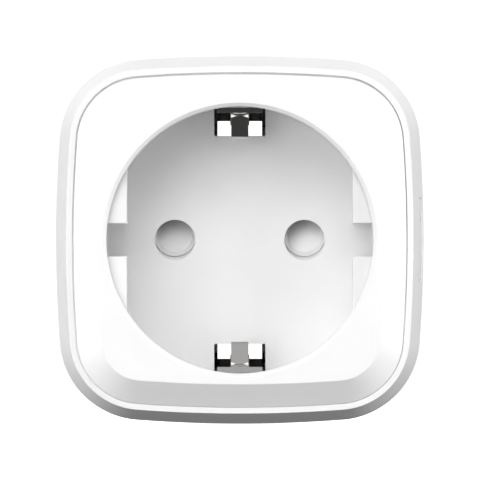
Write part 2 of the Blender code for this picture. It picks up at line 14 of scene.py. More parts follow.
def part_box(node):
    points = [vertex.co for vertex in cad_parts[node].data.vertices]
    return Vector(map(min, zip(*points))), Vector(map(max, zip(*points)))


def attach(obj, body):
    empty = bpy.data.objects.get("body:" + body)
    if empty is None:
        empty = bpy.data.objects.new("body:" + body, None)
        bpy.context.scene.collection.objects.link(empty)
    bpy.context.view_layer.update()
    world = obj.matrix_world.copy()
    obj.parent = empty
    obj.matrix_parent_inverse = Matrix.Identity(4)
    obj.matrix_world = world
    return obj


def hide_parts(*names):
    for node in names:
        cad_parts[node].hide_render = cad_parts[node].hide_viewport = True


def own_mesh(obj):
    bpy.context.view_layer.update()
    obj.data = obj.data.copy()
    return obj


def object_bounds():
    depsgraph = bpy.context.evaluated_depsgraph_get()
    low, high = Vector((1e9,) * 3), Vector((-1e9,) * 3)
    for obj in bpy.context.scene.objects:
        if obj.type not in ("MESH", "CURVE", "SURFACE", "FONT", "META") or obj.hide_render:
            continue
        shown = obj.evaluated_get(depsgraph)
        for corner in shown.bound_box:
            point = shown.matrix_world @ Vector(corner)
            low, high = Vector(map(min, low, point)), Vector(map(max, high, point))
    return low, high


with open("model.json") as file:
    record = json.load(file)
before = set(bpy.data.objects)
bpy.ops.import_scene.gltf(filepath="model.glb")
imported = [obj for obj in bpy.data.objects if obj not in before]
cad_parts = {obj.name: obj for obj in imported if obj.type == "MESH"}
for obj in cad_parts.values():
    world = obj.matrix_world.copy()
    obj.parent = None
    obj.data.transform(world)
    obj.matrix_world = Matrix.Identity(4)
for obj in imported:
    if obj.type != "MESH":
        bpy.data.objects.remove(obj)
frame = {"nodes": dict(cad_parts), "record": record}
cad_bounds = [list(corner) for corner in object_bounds()]

MM = 0.001
FRONT_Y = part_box("front_cover")[0].y
HALF_WIDTH = cad_bounds[1][0] / MM
PLUG_FACE = -FRONT_Y / MM

# The case: an inset is counted inwards from its widest outline.
CORNER_R = 12.25
SIDE_R = 203.0
CORNER_PIECES = 28
SIDE_PIECES = 22
RIM_DEPTH = 2.6
RIM_INSET = 1.72
CHAMFER_INSET = 6.15
CHAMFER_DEPTH = 2.4
WIDEST = 32.0
SEAM = 38.4
BODY_DEPTH = 42.0
WALL = 2.2
CORNERS = [(1, 1), (-1, 1), (-1, -1), (1, -1)]
CASE_SCREW = 18.6
BOSS_R = 2.9
SCREW_HEAD = 40.9

# The front cover and the groove around it. COVER_LEAN is the cover's shift in x and z, COVER_DIP
# the share by which its depths grow for each millimetre down, and GROOVE_SLOPE how far the groove
# deepens for each millimetre up.
COVER_EDGE = 2.79
COVER_SKIRT = 3.8
COVER_LEAN = (0.04, -0.13)
COVER_DIP = 0.0018
GROOVE = 0.2
GROOVE_DEPTH = 0.45
GROOVE_SLOPE = 0.0115

# The well, its pin holes and the slider behind them.
WELL_R = 19.5
WELL_DEPTH = 17.5
FLOOR_BACK = 18.7
CARRIER_SCREW = (11.5, 14.5)
PIN_X = 9.5
PIN_HOLE_R = 2.965
LIP_R = 3.3
PAD_FRONT = 19.0
SCOOP_R = 3.14
SCOOP_Z = 0.73
SCOOP_TILT = 0.3
SHUTTER_HOLE_Z = 6.2

# The button, the plug and the earth straps.
BUTTON_DEPTH = 23.6
BUTTON_SIZE = (7.0, 12.0)
BUTTON_GAP = 0.16
EARTH_HOLE_Z = 10.0
STRAP_THICK = 0.8
LOBE_HALF = 1.3

# The studio: lamp sizes and places, and the strengths of the world's light.
SOFTBOX_DISTANCE = 500.0
LIGHT_CENTRE = 19.0
SOFTBOX_SIZE, WIDE_SOFTBOX = 260.0, 300.0
FILL_LEFT, FILL_BEHIND = 0.137, 0.168
SHINE_LOW, SHINE_HIGH = 0.05, 0.45
SHINE_FROM, SHINE_TO = -0.25, 0.35
BACKDROP = 1.05
FLOOR_GAP = 0.1
CAMERA_DISTANCE = 3000.0
VIEW_WIDTH = 70.07
CAMERA_SHIFT = (0.03, -0.01)


# --- geometry helpers ----------------------------------------------------------------------

def point(x, depth, z):
    """A place in the frame's metres."""
    return Vector((x * MM, FRONT_Y + depth * MM, z * MM))


def arc(centre, radius, start, end, pieces):
    """Places on an arc, from one angle to another, in degrees."""
    angles = [math.radians(start + (end - start) * i / pieces) for i in range(pieces + 1)]
    return [(centre[0] + radius * math.cos(a), centre[1] + radius * math.sin(a))
            for a in angles]


def rounded(centre, size, radius):
    """A rectangle with round corners."""
    half = (size[0] / 2 - radius, size[1] / 2 - radius)
    places = []
    for turn, (u, v) in zip((0, 90, 180, 270), CORNERS):
        middle = (centre[0] + u * half[0], centre[1] + v * half[1])
        places += arc(middle, radius, turn, turn + 90, 8)
    return places


def fillet(corners, closed=False, pieces=4):
    """A flat line of (u, v, radius) corners, each rounded by its radius or as far as it fits."""
    longest = 0.49
    count = len(corners)
    places = []
    for i, (u, v, radius) in enumerate(corners):
        here = Vector((u, v))
        at_end = not closed and i in (0, count - 1)
        if radius <= 0 or at_end:
            places.append((u, v))
            continue
        before = Vector(corners[i - 1][:2]) - here
        after = Vector(corners[(i + 1) % count][:2]) - here
        turn = before.angle(after)
        reach = min(radius / math.tan(turn / 2), longest * before.length,
                    longest * after.length)
        real = reach * math.tan(turn / 2)
        before.normalize()
        after.normalize()
        middle = here + (before + after).normalized() * (real / math.sin(turn / 2))
        first = here + before * reach - middle
        last = here + after * reach - middle
        sweep = first.angle_signed(last)
        for k in range(pieces + 1):
            spoke = first.copy()
            spoke.rotate(Matrix.Rotation(-sweep * k / pieces, 2))
            places.append(tuple(middle + spoke))
    return places


def case_outline(inset):
    """The case seen from the front, moved in by an inset: bulging sides and round corners."""
    far = SIDE_R - HALF_WIDTH
    reach = SIDE_R - CORNER_R
    centre = (math.sqrt(2 * reach ** 2 - far ** 2) - far) / 2
    lean = math.degrees(math.asin(centre / reach))
    places = []
    for quarter in range(4):
        turn = 90 * quarter
        side = (-far * math.cos(math.radians(turn)), -far * math.sin(math.radians(turn)))
        across = math.radians(turn + 45)
        corner = (centre * math.sqrt(2) * math.cos(across),
                  centre * math.sqrt(2) * math.sin(across))
        places += arc(side, SIDE_R - inset, turn - lean, turn + lean, SIDE_PIECES)[:-1]
        places += arc(corner, CORNER_R - inset, turn + lean, turn + 90 - lean,
                      CORNER_PIECES)[:-1]
    return places


def case_ring(depth, inset):
    """The case's outline at a depth, as places for a loft."""
    return [(x, depth, z) for x, z in case_outline(inset)]


def leaned(ring):
    """A ring of the front cover, which sits low and to the right, its lower edge pressed in."""
    return [(x + COVER_LEAN[0], depth * (1 - COVER_DIP * z), z + COVER_LEAN[1])
            for x, depth, z in ring]


def round_ring(depth, radius):
    """A circle whose points lie in line with those of the case's outline."""
    ring = []
    for x, z in case_outline(6.0):
        size = radius / math.hypot(x, z)
        ring.append((x * size, depth, z * size))
    return ring


def side_x(depth):
    """How far out the case's side is at a depth."""
    slope = RIM_INSET / (WIDEST - RIM_DEPTH)
    return HALF_WIDTH - slope * max(0, WIDEST - depth)


def link(name, mesh):
    thing = bpy.data.objects.new(name, mesh)
    bpy.context.scene.collection.objects.link(thing)
    return thing


def from_bmesh(name, built):
    mesh = bpy.data.meshes.new(name)
    built.to_mesh(mesh)
    built.free()
    return link(name, mesh)


def loft(name, rings, capped=True):
    """A skin over rings of places; an uncapped one joins its last ring to its first."""
    built = bmesh.new()
    loops = [[built.verts.new(point(*place)) for place in ring] for ring in rings]
    pairs = list(zip(loops, loops[1:]))
    if capped:
        built.faces.new(loops[0])
        built.faces.new(loops[-1])
    else:
        pairs.append((loops[-1], loops[0]))
    for near, far in pairs:
        for i in range(len(near)):
            j = (i + 1) % len(near)
            built.faces.new((near[i], near[j], far[j], far[i]))
    bmesh.ops.recalc_face_normals(built, faces=built.faces)
    return from_bmesh(name, built)


def prism(name, outline, start, end, soft=0.0):
    """An outline of (x, z) extruded along the depth, its end edges rounded by soft."""
    def ring(depth, inset):
        return [(x, depth, z) for x, z in shrink(outline, inset)]
    if soft <= 0:
        return loft(name, [ring(start, 0), ring(end, 0)])
    steps = [math.radians(90 * k / 3) for k in range(4)]
    rings = [ring(start + soft * (1 - math.sin(a)), soft * (1 - math.cos(a)))
             for a in reversed(steps)]
    rings += [ring(end - soft * (1 - math.sin(a)), soft * (1 - math.cos(a))) for a in steps]
    return loft(name, rings)


def shrink(outline, inset):
    """A closed outline moved inwards along its own normals."""
    if inset == 0:
        return outline
    count = len(outline)
    area = sum(outline[i][0] * outline[(i + 1) % count][1]
               - outline[(i + 1) % count][0] * outline[i][1] for i in range(count))
    flip = 1 if area > 0 else -1
    moved = []
    for i, here in enumerate(outline):
        before = Vector(here) - Vector(outline[i - 1])
        after = Vector(outline[(i + 1) % count]) - Vector(here)
        first = Vector((-before.y, before.x)).normalized()
        second = Vector((-after.y, after.x)).normalized()
        middle = (first + second).normalized()
        size = inset / max(0.4, middle.dot(first))
        moved.append(tuple(Vector(here) + middle * size * flip))
    return moved


def turned(name, profile, centre=(0.0, 0.0), pieces=64):
    """A closed profile of (radius, depth), which may touch the axis, turned about the depth."""
    built = bmesh.new()
    rows = []
    for radius, depth in profile:
        if radius < 1e-6:
            rows.append([built.verts.new(point(centre[0], depth, centre[1]))])
            continue
        spokes = [2 * math.pi * i / pieces for i in range(pieces)]
        rows.append([built.verts.new(point(centre[0] + radius * math.cos(a), depth,
                                           centre[1] + radius * math.sin(a)))
                     for a in spokes])
    pairs = list(zip(rows, rows[1:]))
    if len(rows[0]) > 1 and len(rows[-1]) > 1:
        pairs.append((rows[-1], rows[0]))
    for near, far in pairs:
        for i in range(pieces):
            j = (i + 1) % pieces
            corners = [near[i % len(near)], near[j % len(near)],
                       far[j % len(far)], far[i % len(far)]]
            unique = list(dict.fromkeys(corners))
            if len(unique) > 2:
                built.faces.new(unique)
    bmesh.ops.recalc_face_normals(built, faces=built.faces)
    return from_bmesh(name, built)


def rod(name, start, end, radius, pieces=32):
    """A round bar between two places."""
    a, b = point(*start), point(*end)
    built = bmesh.new()
    turn = (b - a).to_track_quat("Z", "Y").to_matrix().to_4x4()
    bmesh.ops.create_cone(built, cap_ends=True, segments=pieces, radius1=radius * MM,
                          radius2=radius * MM, depth=(b - a).length,
                          matrix=Matrix.Translation((a + b) / 2) @ turn)
    return from_bmesh(name, built)


def box(name, low, high, turn=0.0):
    """A box between two corners, turned about its own middle, around the depth axis."""
    size = [(b - a) * MM for a, b in zip(low, high)]
    middle = point(*[(a + b) / 2 for a, b in zip(low, high)])
    built = bmesh.new()
    bmesh.ops.create_cube(built, size=1.0, matrix=(
        Matrix.Translation(middle) @ Matrix.Rotation(turn, 4, "Y")
        @ Matrix.Diagonal((*size, 1.0))))
    return from_bmesh(name, built)


def strip(name, path, width, thickness):
    """Sheet metal that follows a path of (z, depth) and is extruded along x."""
    line = [Vector(place) for place in path]
    upper, lower = [], []
    for i, here in enumerate(line):
        before = (here - line[i - 1]).normalized() if i else None
        after = (line[i + 1] - here).normalized() if i < len(line) - 1 else None
        along = ((before or after) + (after or before)).normalized()
        side = Vector((-along.y, along.x))
        scale = thickness / 2 / max(0.5, side.dot(Vector((-(after or before).y,
                                                         (after or before).x))))
        upper.append(here + side * scale)
        lower.append(here - side * scale)
    outline = upper + lower[::-1]
    rings = [[(edge * width / 2, place.y, place.x) for place in outline] for edge in (-1, 1)]
    return loft(name, rings)


def bake(thing):
    """Apply a piece's modifiers."""
    bpy.context.view_layer.update()
    shape = thing.evaluated_get(bpy.context.evaluated_depsgraph_get())
    mesh = bpy.data.meshes.new_from_object(shape)
    old = thing.data
    thing.modifiers.clear()
    thing.data = mesh
    bpy.data.meshes.remove(old)


def boolean(thing, operation, others):
    """Cut, join or intersect a piece with others, which are used up."""
    for other in others:
        step = thing.modifiers.new(operation, "BOOLEAN")
        step.operation = operation
        step.solver = "EXACT"
        step.object = other
    bake(thing)
    for other in others:
        bpy.data.objects.remove(other)


def cut(thing, *others):
    boolean(thing, "DIFFERENCE", others)


def join(thing, *others):
    boolean(thing, "UNION", others)


def soften(thing, width, pieces=2):
    """Round the sharp edges and apply it."""
    bevel = thing.modifiers.new("Edges", "BEVEL")
    bevel.width = width * MM
    bevel.segments = pieces
    bevel.limit_method = "ANGLE"
    bevel.angle_limit = math.radians(35)
    bake(thing)


def close_gaps(thing):
    """Join points that are as good as one, and fill any small hole left by a boolean."""
    nearest = 0.002
    built = bmesh.new()
    built.from_mesh(thing.data)
    bmesh.ops.remove_doubles(built, verts=built.verts, dist=nearest * MM)
    bmesh.ops.holes_fill(built, edges=[edge for edge in built.edges if edge.is_boundary],
                         sides=12)
    built.to_mesh(thing.data)
    built.free()


def finish_piece(thing, material, body, nodes):
    """Shade a piece so that flat faces stay flat, give it its material, hang it on its body and
    hide the CAD nodes it stands for.
    """
    close_gaps(thing)
    thing.data.shade_smooth()
    thing.data.set_sharp_from_angle(angle=math.radians(32))
    thing.data.materials.clear()
    thing.data.materials.append(material)
    weigh = thing.modifiers.new("Even shading", "WEIGHTED_NORMAL")
    weigh.keep_sharp = True
    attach(thing, body)
    if nodes:
        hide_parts(*nodes)


# --- materials -----------------------------------------------------------------------------

class Nodes:
    """A material's node tree, with short calls for the nodes that are used again and again."""

    def __init__(self, name):
        self.material = bpy.data.materials.new(name)
        self.material.use_nodes = True
        self.tree = self.material.node_tree
        self.shader = self.tree.nodes["Principled BSDF"]
        coordinates = self.tree.nodes.new("ShaderNodeTexCoord")
        self.place = coordinates.outputs["Object"]

    def set(self, **values):
        for name, value in values.items():
            self.shader.inputs[name.replace("_", " ")].default_value = value

    def stretched(self, scale):
        mapping = self.tree.nodes.new("ShaderNodeMapping")
        mapping.inputs["Scale"].default_value = scale
        self.tree.links.new(self.place, mapping.inputs["Vector"])
        return mapping.outputs["Vector"]

    def noise(self, scale, detail=3.0, place=None):
        node = self.tree.nodes.new("ShaderNodeTexNoise")
        node.inputs["Scale"].default_value = scale
        node.inputs["Detail"].default_value = detail
        self.tree.links.new(place or self.place, node.inputs["Vector"])
        return node.outputs["Fac"]

    def ramp(self, value, low, high):
        """Map the middle of a noise's range to a number or a colour between low and high."""
        start, end = 0.3, 0.7
        if isinstance(low, tuple):
            node = self.tree.nodes.new("ShaderNodeValToRGB")
            stops = node.color_ramp.elements
            stops[0].position, stops[1].position = start, end
            stops[0].color, stops[1].color = (*low, 1.0), (*high, 1.0)
            self.tree.links.new(value, node.inputs["Fac"])
            return node.outputs["Color"]
        node = self.tree.nodes.new("ShaderNodeMapRange")
        node.inputs["From Min"].default_value = start
        node.inputs["From Max"].default_value = end
        node.inputs["To Min"].default_value = low
        node.inputs["To Max"].default_value = high
        self.tree.links.new(value, node.inputs["Value"])
        return node.outputs["Result"]

    def wire(self, value, name):
        self.tree.links.new(value, self.shader.inputs[name])

    def bump(self, height, distance, strength=1.0, below=None):
        node = self.tree.nodes.new("ShaderNodeBump")
        node.inputs["Strength"].default_value = strength
        node.inputs["Distance"].default_value = distance * MM
        self.tree.links.new(height, node.inputs["Height"])
        if below is not None:
            self.tree.links.new(below, node.inputs["Normal"])
        return node.outputs["Normal"]


def moulded(name, colour, roughness, grain=0.004, grain_size=0.12, swing=0.012):
    """Moulded plastic: a fine spark-eroded grain and a faint unevenness of tone and gloss."""
    nodes = Nodes(name)
    dark = tuple(max(0.0, c - swing) for c in colour)
    light = tuple(min(1.0, c + swing) for c in colour)
    nodes.wire(nodes.ramp(nodes.noise(140, 2), dark, light), "Base Color")
    nodes.wire(nodes.ramp(nodes.noise(420, 3), roughness - 0.04, roughness + 0.05), "Roughness")
    fine = nodes.noise(1000 / grain_size, 2)
    slow = nodes.bump(nodes.noise(90, 1), 0.01, 0.25)
    nodes.wire(nodes.bump(fine, grain, 0.6, slow), "Normal")
    nodes.set(IOR=1.49)
    return nodes.material


def metal(name, colour, roughness, along=(1, 1, 1), depth=0.002):
    """Bare or plated metal: drawn marks along one direction and a faint change of tint."""
    nodes = Nodes(name)
    nodes.set(Metallic=1.0)
    drawn = nodes.noise(2600, 4, nodes.stretched(along))
    tint = tuple(c * 0.93 for c in colour)
    nodes.wire(nodes.ramp(nodes.noise(260, 3), tint, colour), "Base Color")
    nodes.wire(nodes.ramp(drawn, roughness * 0.7, roughness * 1.35), "Roughness")
    nodes.wire(nodes.bump(drawn, depth, 0.4), "Normal")
    return nodes.material


CASE_WHITE = moulded("case plastic", (0.88, 0.88, 0.885), 0.36)
SOCKET_WHITE = moulded("socket plastic", (0.86, 0.86, 0.865), 0.42)
BUTTON_WHITE = moulded("button plastic", (0.85, 0.85, 0.855), 0.34, 0.003)
CLIP_METAL = metal("nickel strip", (0.83, 0.82, 0.80), 0.07, (0.2, 1, 1), 0.0006)
PIN_METAL = metal("nickel pin", (0.80, 0.79, 0.76), 0.2, (1, 0.12, 1))
STEEL = metal("bright steel", (0.62, 0.62, 0.64), 0.3)
COPPER = metal("copper strip", (0.80, 0.45, 0.29), 0.3, (1, 0.2, 1))
BLACK = moulded("black plastic", (0.025, 0.025, 0.027), 0.45, 0.006, 0.2, 0.006)
YELLOW = moulded("yellow plastic", (0.72, 0.55, 0.10), 0.4, 0.004, 0.2, 0.03)
BLUE = moulded("blue epoxy", (0.04, 0.12, 0.40), 0.28, 0.02, 1.2, 0.02)
SLEEVE = moulded("dark sleeve", (0.03, 0.04, 0.09), 0.32, 0.002, 0.3, 0.01)
CERAMIC = moulded("green lacquer", (0.30, 0.50, 0.40), 0.35, 0.01, 0.6, 0.03)


def board_material():
    """Green solder mask over tracks that show as a faint lighter pattern."""
    nodes = Nodes("solder mask")
    cells = nodes.tree.nodes.new("ShaderNodeTexBrick")
    cells.inputs["Scale"].default_value = 160
    cells.inputs["Mortar Size"].default_value = 0.06
    cells.inputs["Color1"].default_value = (0.012, 0.105, 0.045, 1)
    cells.inputs["Color2"].default_value = (0.018, 0.130, 0.055, 1)
    cells.inputs["Mortar"].default_value = (0.008, 0.07, 0.03, 1)
    nodes.tree.links.new(nodes.place, cells.inputs["Vector"])
    nodes.wire(cells.outputs["Color"], "Base Color")
    nodes.wire(nodes.ramp(nodes.noise(900, 3), 0.28, 0.45), "Roughness")
    nodes.wire(nodes.bump(cells.outputs["Fac"], 0.02, 0.5), "Normal")
    return nodes.material


def lens_material():
    """Frosted clear plastic."""
    nodes = Nodes("clear lens")
    nodes.set(Transmission_Weight=0.6, IOR=1.49)
    nodes.wire(nodes.ramp(nodes.noise(500, 2), (0.80, 0.86, 0.90), (0.88, 0.92, 0.95)),
               "Base Color")
    nodes.wire(nodes.ramp(nodes.noise(800, 2), 0.12, 0.2), "Roughness")
    return nodes.material


BOARD = board_material()
LENS = lens_material()


# --- case ----------------------------------------------------------------------------------
# Corners of the case's profiles are (depth, inset, rounding), and those of turned pieces are
# (radius, depth, rounding).

def make_front_cover():
    """The chamfered square frame around the well, with a small bevel at the well's edge.

    The hole's profile lists radii where the frame's lists insets.
    """
    thick, bevel = 1.9, 0.55
    skirt = COVER_EDGE + 1.3
    hole = fillet([(thick, WELL_R, 0), (bevel, WELL_R, 0.12), (0, WELL_R + bevel, 0.1),
                   (0, WELL_R + 0.75, 0)])
    frame_line = fillet([(0, CHAMFER_INSET + 0.4, 0), (0, CHAMFER_INSET, 0.3),
                         (CHAMFER_DEPTH, COVER_EDGE, 0.1), (COVER_SKIRT, COVER_EDGE, 0.2),
                         (COVER_SKIRT, skirt, 0.2), (COVER_SKIRT - 0.9, skirt, 0.3),
                         (thick, skirt + 2.5, 0.4), (thick, skirt + 2.7, 0)])
    rings = [round_ring(depth, radius) for depth, radius in hole]
    rings += [leaned(case_ring(*place)) for place in frame_line]
    cover = loft("front_frame", rings, capped=False)
    finish_piece(cover, CASE_WHITE, "body", ["front_cover"])


def make_case_sides():
    """The four bulging sides, ending at the front in a thin flat band beside the groove.

    The cover's seat leans with the cover, and the groove's floor slopes.
    """
    mouth, ledge = COVER_EDGE - GROOVE, COVER_EDGE + 0.02
    floor, stop = RIM_DEPTH + GROOVE_DEPTH, COVER_SKIRT + 0.3
    line = fillet([(SEAM + 0.2, 2.5, 0.2), (12, 3.2, 0), (stop, 3.8, 0),
                   (stop, ledge + 0.2, 0.1), (COVER_SKIRT - 0.1, ledge, 0.1),
                   (floor, ledge, 0), (floor, mouth, 0.03), (RIM_DEPTH, mouth, 0.04),
                   (RIM_DEPTH, RIM_INSET, 0.07), (WIDEST - 1.5, 0, 15), (WIDEST + 1.5, 0, 15),
                   (SEAM - 0.05, 0.4, 0.25), (SEAM - 0.05, 0.9, 0.05),
                   (SEAM + 0.2, 0.95, 0.05)], closed=True, pieces=6)
    rings = []
    for depth, inset in line:
        ring = case_ring(depth, inset)
        if depth <= COVER_SKIRT and inset >= ledge - 0.01:
            ring = leaned(ring)
        if RIM_DEPTH + 0.3 < depth <= floor:
            ring = [(x, depth + GROOVE_SLOPE * z, z) for x, _, z in ring]
        rings.append(ring)
    sides = loft("case_sides", rings, capped=False)
    boss_end, web_shift, web_half = 38.1, 1.9, (2.3, 1)
    for number, (u, v) in enumerate(CORNERS, 1):
        x, z = u * CASE_SCREW, v * CASE_SCREW
        web_x, web_z = x + u * web_shift, z + v * web_shift
        web = box(f"web_{number}", (web_x - web_half[0], 16, web_z - web_half[1]),
                  (web_x + web_half[0], boss_end, web_z + web_half[1]), -math.atan2(v, u))
        boss = rod(f"boss_{number}", (x, 14.5, z), (x, boss_end, z), BOSS_R)
        join(sides, web, boss)
        cut(sides, rod(f"boss_hole_{number}", (x, 27.5, z), (x, 39, z), BOSS_R / 2))
    # The button's opening: how far each ring lies from the side's surface, and how much it grows.
    rings = []
    for x_offset, grow in ((-5, 0), (-0.18, 0), (0.3, 0.96)):
        size = [side + 2 * BUTTON_GAP + grow for side in BUTTON_SIZE]
        outline = rounded((BUTTON_DEPTH, 0), size, 1.6 + grow / 2)
        rings.append([(side_x(depth) + x_offset, depth, z) for depth, z in outline])
    cut(sides, loft("button_opening", rings))
    finish_piece(sides, CASE_WHITE, "body", ["body_shell"])


def base_outline():
    """The plug base: a circle with flat sides, a key on each and a groove for each earth strip."""
    radius, flat, key, groove, shoulder, floor = 18.5, 16.0, 2.1, 4.4, 17.45, 16.6
    low = math.degrees(math.acos(flat / radius))
    high = math.degrees(math.acos(groove / radius))
    key_top = math.sqrt(radius ** 2 - key ** 2) - 0.15
    quarter = fillet([(key_top, 0, 0), (key_top, key, 0.35), (flat, key, 0.3),
                      (flat, key + 2, 0)])[1:-1]
    quarter += arc((0, 0), radius, low, high - 1.2, 22)
    quarter += fillet([(*quarter[-1], 0), (groove, shoulder, 0), (groove, floor, 0.3),
                       (0, floor, 0)])[1:-1]
    mirrored = [(-x, z) for x, z in quarter[::-1]]
    upper = quarter + mirrored
    return upper + [(-x, -z) for x, z in upper]


def make_case_back():
    """The back of the case with the plug base moulded on it."""
    pan = fillet([(40.0, 3.1, 0), (SEAM + 0.25, 2.8, 0.1), (SEAM + 0.25, 0.37, 0.25),
                  (39.2, 0.42, 0.5), (40.6, 0.75, 1.0), (41.55, 1.75, 1.1),
                  (BODY_DEPTH, 3.0, 1.2), (BODY_DEPTH, 4.6, 0)])
    back = loft("case_back", [case_ring(*place) for place in pan])
    join(back, prism("plug_base", base_outline(), 40.4, PLUG_FACE, 0.3))
    half_x, half_z = 14.0, 15.1
    hollow = [(max(-half_x, min(half_x, x)), max(-half_z, min(half_z, z)))
              for x, z in arc((0, 0), 16.3, 0, 360, 96)[:-1]]
    cut(back, prism("base_hollow", hollow, 39, PLUG_FACE - WALL))
    pass_r, sink_r, seat = 1.3, 2.6, SCREW_HEAD - 0.3
    for number, (u, v) in enumerate(CORNERS, 1):
        x, z = u * CASE_SCREW, v * CASE_SCREW
        join(back, rod(f"seat_{number}", (x, SEAM, z), (x, 40.5, z), BOSS_R))
        sink = [(0, 38), (pass_r, 38), (pass_r, seat), (sink_r, seat), (sink_r, 41.8),
                (sink_r + 0.5, 42.3), (sink_r + 0.5, 43), (0, 43)]
        cut(back, turned(f"sink_{number}", sink, (x, z), 40))
    outside = 60
    pin_r, slot_x, slot_z, slot_half = 2.45, 4.3, 16.1, 2
    for side in (-1, 1):
        x, z = side * PIN_X, side * slot_z
        join(back, rod(f"pin_boss_{side}", (x, 50, 0), (x, 57.5, 0), 4.2))
        mouth = [(0, 49), (pin_r, 49), (pin_r, PLUG_FACE - 0.2), (pin_r + 0.3, PLUG_FACE + 0.1),
                 (pin_r + 0.3, outside), (0, outside)]
        cut(back, turned(f"pin_mouth_{side}", mouth, (x, 0), 40),
            box(f"earth_slot_{side}", (-slot_x, 53.6, z - slot_half),
                (slot_x, 56.25, z + slot_half)))
    mouth = [(0, 56), (3.0, 56), (3.0, PLUG_FACE - 0.5), (3.6, PLUG_FACE + 0.1), (3.6, outside),
             (0, outside)]
    cut(back, turned("earth_mouth", mouth, (0, EARTH_HOLE_Z), 48))
    finish_piece(back, CASE_WHITE, "body", ["rear_cover"])


def make_case_screws():
    """Pan-head screws with a cross recess, each turned a little further than the last."""
    shank_r, head_r, slot_half = 1.15, 2.3, (1.25, 0.22)
    for number, (u, v) in enumerate(CORNERS, 1):
        x, z = u * CASE_SCREW, v * CASE_SCREW
        line = fillet([(0, 28, 0), (0.5, 28, 0), (shank_r, 29.6, 0), (shank_r, SCREW_HEAD, 0),
                       (head_r, SCREW_HEAD, 0.1), (head_r, 41.35, 0.25), (1.6, 41.85, 0.6),
                       (0, 41.9, 0)])
        screw = turned(f"rear_screw_{number}", line, (x, z), 40)
        for turn in (20 * number, 90 + 20 * number):
            cut(screw, box("slot", (x - slot_half[0], 41.1, z - slot_half[1]),
                           (x + slot_half[0], 42.5, z + slot_half[1]), math.radians(turn)))
        finish_piece(screw, STEEL, "body", [f"case_screw_{number}"])


# --- front socket --------------------------------------------------------------------------

def make_socket_well():
    """The well: a cup with flat sides, key slots, pin holes, earth windows and mounting ears."""
    inner, outer, top = WELL_R + 0.1, WELL_R + 1.4, 2.7
    cup = fillet([(0, WELL_DEPTH, 0), (inner, WELL_DEPTH, 0.35), (inner, top, 0.15),
                  (outer, top, 0.15), (outer, FLOOR_BACK, 0.5), (0, FLOOR_BACK, 0)])
    well = turned("socket_well", cup, pieces=128)
    flat, key, reach = 16.5, 2.4, 20.4
    low, high = math.degrees(math.asin(key / reach)), math.degrees(math.acos(flat / reach))
    for side in (-1, 1):
        for end in (-1, 1):
            block = [(side * flat, end * key)]
            block += [(side * x, end * z) for x, z in arc((0, 0), reach, low, high, 16)]
            join(well, prism(f"block_{side}_{end}", block, 2.2, WELL_DEPTH + 1, 0.22))
    arm_at, arm_half, front, back = 16.6, (3.3, 2), 11.9, 14.2
    for number, (u, v) in enumerate(CORNERS, 1):
        arm = box(f"arm_{number}", (u * arm_at - arm_half[0], front, v * arm_at - arm_half[1]),
                  (u * arm_at + arm_half[0], back, v * arm_at + arm_half[1]),
                  -math.atan2(v, u))
        ear = rod(f"ear_{number}", (u * CASE_SCREW, front, v * CASE_SCREW),
                  (u * CASE_SCREW, back, v * CASE_SCREW), 2.6)
        x, z = u * CARRIER_SCREW[0], v * CARRIER_SCREW[1]
        join(well, arm, ear, rod(f"floor_boss_{number}", (x, 18, z), (x, 24, z), 2.3))
        cut(well, rod(f"floor_hole_{number}", (x, 20.8, z), (x, 25, z), 0.9))
    window_half, window_low, window_high = 3.75, 15.28, 22
    for side in (-1, 1):
        low, high = sorted((side * window_low, side * window_high))
        cut(well, make_pin_mouth(f"pin_mouth_{side}", side * PIN_X),
            box(f"window_{side}", (-window_half, 1, low), (window_half, 21, high)))
    finish_piece(well, SOCKET_WHITE, "body", ["socket_insert"])


def make_pin_mouth(name, x):
    """The cut for a pin hole: round at the front, with a sloping lip along its lower edge."""
    rings = []
    spokes = [2 * math.pi * i / 96 for i in range(96)]
    for depth, lip in ((WELL_DEPTH - 1, 0.0), (WELL_DEPTH, 0.0), (WELL_DEPTH + 0.6, 1.0),
                       (FLOOR_BACK + 2, 1.0)):
        ring = []
        for spoke in spokes:
            u, v = math.cos(spoke), math.sin(spoke)
            raised = SCOOP_Z * v + math.sqrt(LIP_R ** 2 - (SCOOP_Z * u) ** 2)
            reach = PIN_HOLE_R + lip * (min(PIN_HOLE_R, raised) - PIN_HOLE_R)
            ring.append((x + reach * u, depth, reach * v))
        rings.append(ring)
    return loft(name, rings)


def stadium(x, radius):
    """An upright outline with half-round ends, about the pin hole and the slider's own hole."""
    return arc((x, SHUTTER_HOLE_Z), radius, 0, 180, 24) + arc((x, SCOOP_Z), radius, 180, 360, 24)


